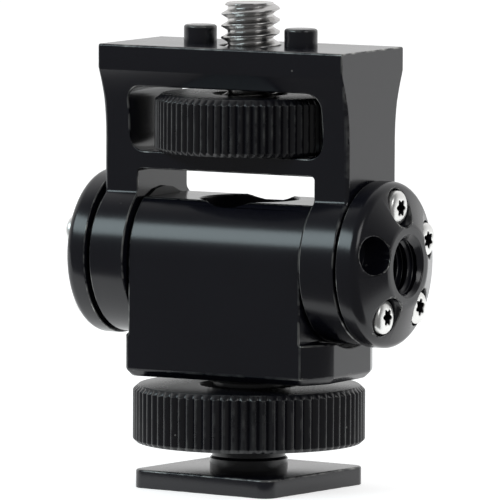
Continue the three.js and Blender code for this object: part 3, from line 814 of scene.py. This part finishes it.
for side, s in (("right", 1), ("left", -1)):
    profile = rounded(
        [
            (0, PIN_FOOT), (PIN_SPIGOT_R, PIN_FOOT), (PIN_SPIGOT_R, FORK_TOP),
            (PIN_R, FORK_TOP), (PIN_R, PIN_TOP), (0, PIN_TOP),
        ],
        [0, 0, 0, 0, 0.3, 0],
        5,
    )
    pin = skin("locating_pin_turned_" + side, lifted(turned(profile, 64) + [s * PIN_AT, 0, 0]))
    edge_rub_and_glint(pin)
    piece("locating_pin_turned_" + side, pin, satin, "fork", ["locating_pin_" + side])

# ---------- side caps ----------
# Two equal turned caps, the left one turned half round. Each has an axle stub into the barrel, a
# 1/4"-20 side socket, four counterbored screw holes and one plain locating hole.
CAP_R, CAP_INNER, CAP_RIM, CAP_FACE, CAP_FACE_R = 8.9, 15.4, 17.6, 19.4, 4.35
STUB_R, STUB_END = 4.0, 7.9
SOCKET_FLOOR, SOCKET_CREST, SOCKET_ROOT, SOCKET_R = 9.9, 2.62, 3.2, 3.3
CAP_HOLES = (-4, 68, 140, 212)
PIN_HOLE = 284
CAP_PITCH_R, CAP_HOLE_R, CAP_HOLE_FLOOR, PIN_HOLE_FLOOR = 6.2, 2.05, 17.2, 16.2
CAP_PROFILE = [
    (0, STUB_END), (STUB_R, STUB_END), (STUB_R, CAP_INNER), (CAP_R, CAP_INNER), (CAP_R, CAP_RIM),
    (CAP_FACE_R, CAP_FACE), (0, CAP_FACE),
]
HEAD_R, HEAD_EDGE, HEAD_TOP = 1.82, 18.25, 18.74
RECESS_MEAN, RECESS_LOBE, RECESS_FLOOR = 0.78, 0.15, 17.7
SHANK_R, SHANK_END = 1.0, 12.35


def cap_point(angle):
    """A point on the cap's pitch circle, clockwise from the top as seen from outside."""
    a = math.radians(angle)
    return np.array([0, CAP_PITCH_R * math.sin(a), CAP_PITCH_R * math.cos(a)])


def half_round(mesh, side):
    """The left side's pieces are the right side's turned half round about the vertical."""
    if side == "left":
        turn = Matrix.Rotation(math.pi, 4, "Z")
        mesh.transform(Matrix.Translation(AXIS) @ turn @ Matrix.Translation(-AXIS))
    return mesh


def socket_wall():
    """The socket's threaded wall: an outer tube buried in the cap, and an inner surface whose
    radius follows the thread, opened by a cone at the mouth."""
    count = 96
    t = (np.arange(count) * 2 * math.pi / count)[None, :]
    x = np.arange(CAP_FACE - 0.1, SOCKET_FLOOR, -SCREW_PITCH / 22)[:, None]
    depth = thread_depth(x / SCREW_PITCH + t / (2 * math.pi), SCREW_PITCH, SOCKET_ROOT - SOCKET_CREST)
    r = np.maximum(SOCKET_CREST + depth, 3.3 - (CAP_FACE - 0.1 - x) * 1.0)
    inner = np.stack([r * np.cos(t), r * np.sin(t), x + 0 * t], -1)
    outer = turned([(3.65, SOCKET_FLOOR), (3.65, CAP_FACE - 0.1)], count)
    return along_x(np.concatenate([outer, inner, outer[:1]]))


def lobed_screw():
    """Rings of a button head with a six-lobed recess: the recess's outline is
    mean + lobe cos 6t, and the head's face blends from it to a circle under a flattened dome."""
    count = 96
    t = np.arange(count) * 2 * math.pi / count
    lobe = RECESS_MEAN + RECESS_LOBE * np.cos(6 * t)
    rows = [(np.zeros(count), RECESS_FLOOR), (lobe * 0.95, RECESS_FLOOR), (lobe, HEAD_TOP - 0.07)]
    rise = HEAD_TOP - HEAD_EDGE
    for share in np.linspace(0, 1, 9):
        r = (1 - share) * (lobe + 0.05) + share * (HEAD_R * 0.985)
        dome = HEAD_EDGE + rise * np.sqrt(np.clip(1 - (r / HEAD_R) ** 4, 0, 1))
        rows.append((r, dome - 0.02 * (share == 0)))
    rows += [(np.full(count, HEAD_R), HEAD_EDGE - 0.1), (np.full(count, HEAD_R), CAP_HOLE_FLOOR),
             (np.full(count, SHANK_R), CAP_HOLE_FLOOR), (np.full(count, SHANK_R), SHANK_END),
             (np.zeros(count), SHANK_END)]
    rings = [np.column_stack([r * np.cos(t), r * np.sin(t), np.broadcast_to(x, count)]) for r, x in rows]
    return along_x(np.stack(rings))


for side in ("right", "left"):
    profile = rounded(CAP_PROFILE, [0, 0.1, 0, 0.12, 1.1, 1.6, 0], 8)
    cap = solid("cap", lifted(along_x(turned(profile, 192))), caps=False)
    socket = [(SOCKET_R, SOCKET_FLOOR), (SOCKET_R, CAP_FACE - 0.1), (SOCKET_R + 0.2, CAP_FACE + 0.1)]
    tools = [solid("socket", lifted(along_x(turned(socket, 96))))]
    for angle in CAP_HOLES:
        hole = rod(CAP_HOLE_R, CAP_HOLE_FLOOR, CAP_FACE + 1, 64) + cap_point(angle)
        tools.append(solid("screw_hole", lifted(hole)))
    hole = rod(CAP_HOLE_R, PIN_HOLE_FLOOR, CAP_FACE + 1, 64) + cap_point(PIN_HOLE)
    tools.append(solid("pin_hole", lifted(hole)))
    cap_mesh = half_round(broken_edges(carved(cap, tools), 0.1, 2), side)
    piece("cap_turned_" + side, cap_mesh, satin, "fork", ["cap_" + side])
    wall = half_round(skin("socket_thread_" + side, lifted(socket_wall()), sharp=60), side)
    piece("socket_thread_" + side, wall, satin, "fork")
    for i, angle in enumerate(CAP_HOLES, 1):
        head = lobed_screw()
        turn = math.radians(17 + 40 * i)
        c, sn = math.cos(turn), math.sin(turn)
        x, y, z = head[..., 0], head[..., 1], head[..., 2]
        head = np.stack([x, c * y - sn * z, sn * y + c * z], -1)
        screw = skin("cap_button_screw_%s_%d" % (side, i), lifted(head + cap_point(angle)), sharp=45)
        # Faces deep inside the six-lobe recess take the dark metal as painted shade.
        centres = np.empty(len(screw.polygons) * 3)
        screw.polygons.foreach_get("center", centres)
        from_axis = centres.reshape(-1, 3) / MM - lifted(cap_point(angle))
        recess = np.linalg.norm(from_axis[:, 1:], axis=1) < RECESS_MEAN + RECESS_LOBE
        recess &= from_axis[:, 0] > RECESS_FLOOR - 0.1
        recess &= from_axis[:, 0] < HEAD_TOP - 0.06
        screw = half_round(screw, side)
        label = "%s_%d" % (side, i)
        piece("cap_button_screw_" + label, screw, polished_steel, "fork", ["cap_screw_" + label])
        screw.materials.append(recess_painted_shade)
        screw.polygons.foreach_set("material_index", recess.astype(np.int32))

# ---------- swivel screw ----------
# A low-headed steel screw in the barrel's counterbore. It goes through the block into the stud and
# a spring washer under its head sets how stiffly the block swivels.
SWIVEL_SEAT, SWIVEL_TOP, SWIVEL_HEAD_R = 2.25, 3.95, 4.9
KEY_FLAT, KEY_FLOOR = 1.4, 2.85


def hex_socket_head():
    """Rings of a round head with a hexagon socket: the socket's outline is its half width over
    the cosine of the angle to the nearest flat's middle."""
    count = 96
    t = np.arange(count) * 2 * math.pi / count
    flat = np.mod(t, math.pi / 3) - math.pi / 6
    key = KEY_FLAT / np.cos(flat)
    full = np.full(count, 1.0)
    rows = [(0 * t, KEY_FLOOR - 0.3), (key, KEY_FLOOR), (key, SWIVEL_TOP - 0.12), (key + 0.12, SWIVEL_TOP),
            (full * (SWIVEL_HEAD_R - 0.35), SWIVEL_TOP), (full * (SWIVEL_HEAD_R - 0.1), SWIVEL_TOP - 0.1),
            (full * SWIVEL_HEAD_R, SWIVEL_TOP - 0.35), (full * SWIVEL_HEAD_R, SWIVEL_SEAT),
            (full * 1.9, SWIVEL_SEAT), (full * 1.9, -5.8), (0 * t, -5.8)]
    return np.stack([np.column_stack([r * np.cos(t), r * np.sin(t), np.full(count, z)]) for r, z in rows])


swivel_mesh = skin("swivel_button_screw", lifted(hex_socket_head()))
piece("swivel_button_screw", swivel_mesh, bright_steel, "foot", ["swivel_screw"])

# ---------- small hidden pieces ----------
# Washers, pads and springs keep their turned shapes. The pads are dark polymer, the thrust washers
# nylon, and the springs and the grub screw steel.


def moulded(name, colour, rough):
    """Plain polymer: an even colour with a faint drift and a fine texture."""
    m = bpy.data.materials.new(name)
    m.use_nodes = True
    t = m.node_tree
    t.nodes.clear()
    coord = node(t, "ShaderNodeTexCoord")
    grain = node(t, "ShaderNodeGroup", node_tree=GRAIN)
    grain.inputs["Grain Scale"].default_value = 3200.0
    tone = node(t, "ShaderNodeMix", data_type="RGBA")
    tone.inputs[6].default_value = tuple(0.8 * c for c in colour) + (1.0,)
    tone.inputs[7].default_value = tuple(colour) + (1.0,)
    lift = node(t, "ShaderNodeBump", Strength=0.2, Distance=0.00003)
    shade = node(t, "ShaderNodeBsdfPrincipled", Roughness=rough)
    out = node(t, "ShaderNodeOutputMaterial")
    join(
        t,
        (coord.outputs["Object"], grain.inputs["Vector"]),
        (grain.outputs["Drift"], tone.inputs[0]),
        (tone.outputs[2], shade.inputs["Base Color"]),
        (grain.outputs["Height"], lift.inputs["Height"]),
        (lift.outputs[0], shade.inputs["Normal"]),
        (shade.outputs[0], out.inputs["Surface"]),
    )
    return m


dark_polymer = moulded("dark_polymer", (0.02, 0.02, 0.021), 0.55)
nylon = moulded("nylon", (0.05, 0.05, 0.05), 0.5)
spring_steel = metal("spring_steel", (0.55, 0.55, 0.54), 0.32)
for label, material in (
    ("pressure_washer", dark_polymer), ("swivel_washer", dark_polymer),
    ("friction_pad_left", dark_polymer), ("friction_pad_right", dark_polymer),
    ("thrust_washer_left", nylon), ("thrust_washer_right", nylon), ("thumb_washer", nylon),
    ("swivel_spring_washer", spring_steel),
    ("spring_washer_left", spring_steel), ("spring_washer_right", spring_steel),
    ("thumb_set_screw", bright_steel),
):
    kept = frame["nodes"][label]
    kept.data.materials.clear()
    kept.data.materials.append(material)
